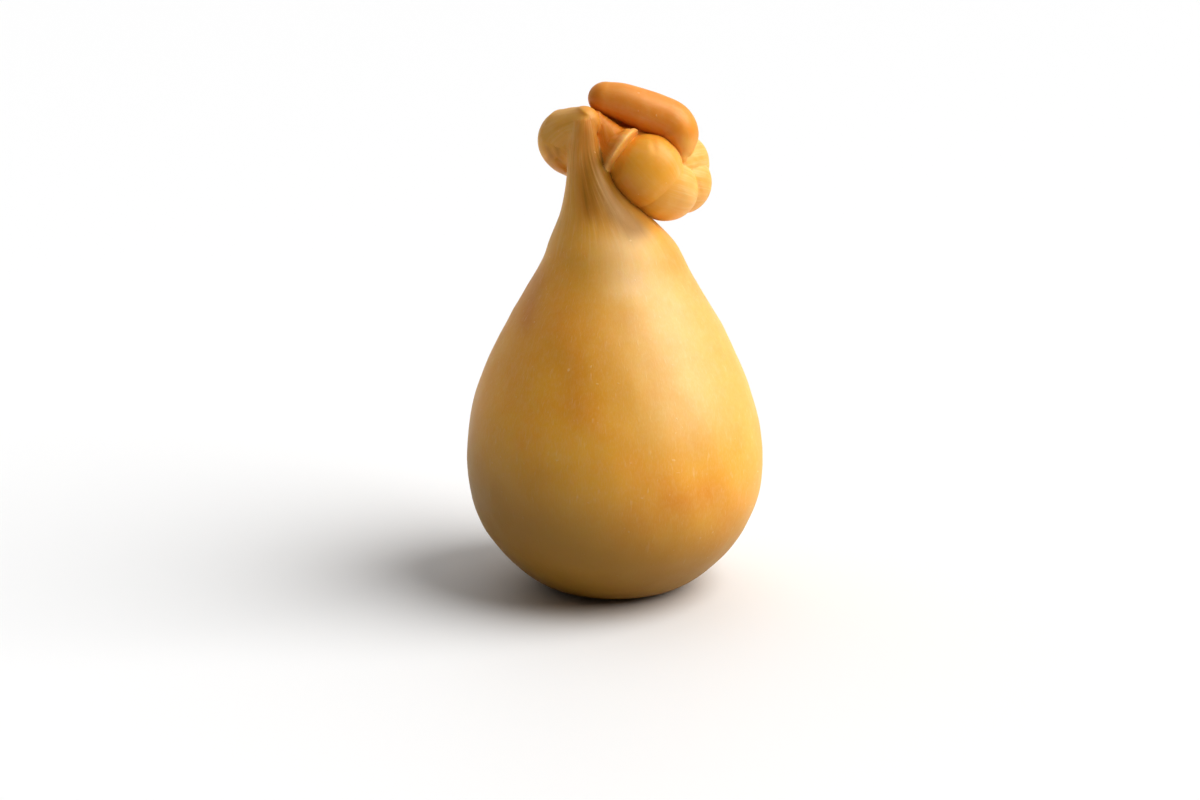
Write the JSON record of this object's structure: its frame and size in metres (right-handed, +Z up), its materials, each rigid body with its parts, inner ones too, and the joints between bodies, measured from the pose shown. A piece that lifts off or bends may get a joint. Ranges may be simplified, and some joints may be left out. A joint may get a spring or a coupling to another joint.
{
  "type": "smoked caciocavallo",
  "caption": "Whole smoked stretched-curd cheese: a drop-shaped golden body drawn up into a twisted neck and tied in a fat folded knot.",
  "frame": {"origin": "centre of the flat foot that the cheese stands on, below the middle of its belly", "axes": "+Z up through the drop to the knot, -Y towards the front of the knot, +X towards the side on which the knot's folds bulge"},
  "size_m": [0.1352, 0.1352, 0.2288],
  "materials": {
    "rind": "waxy satin rind, golden yellow with darker smoked areas and fine fibre streaks"
  },
  "bodies": {
    "root": {"caciocavallo": "rind"}
  },
  "joints": []
}
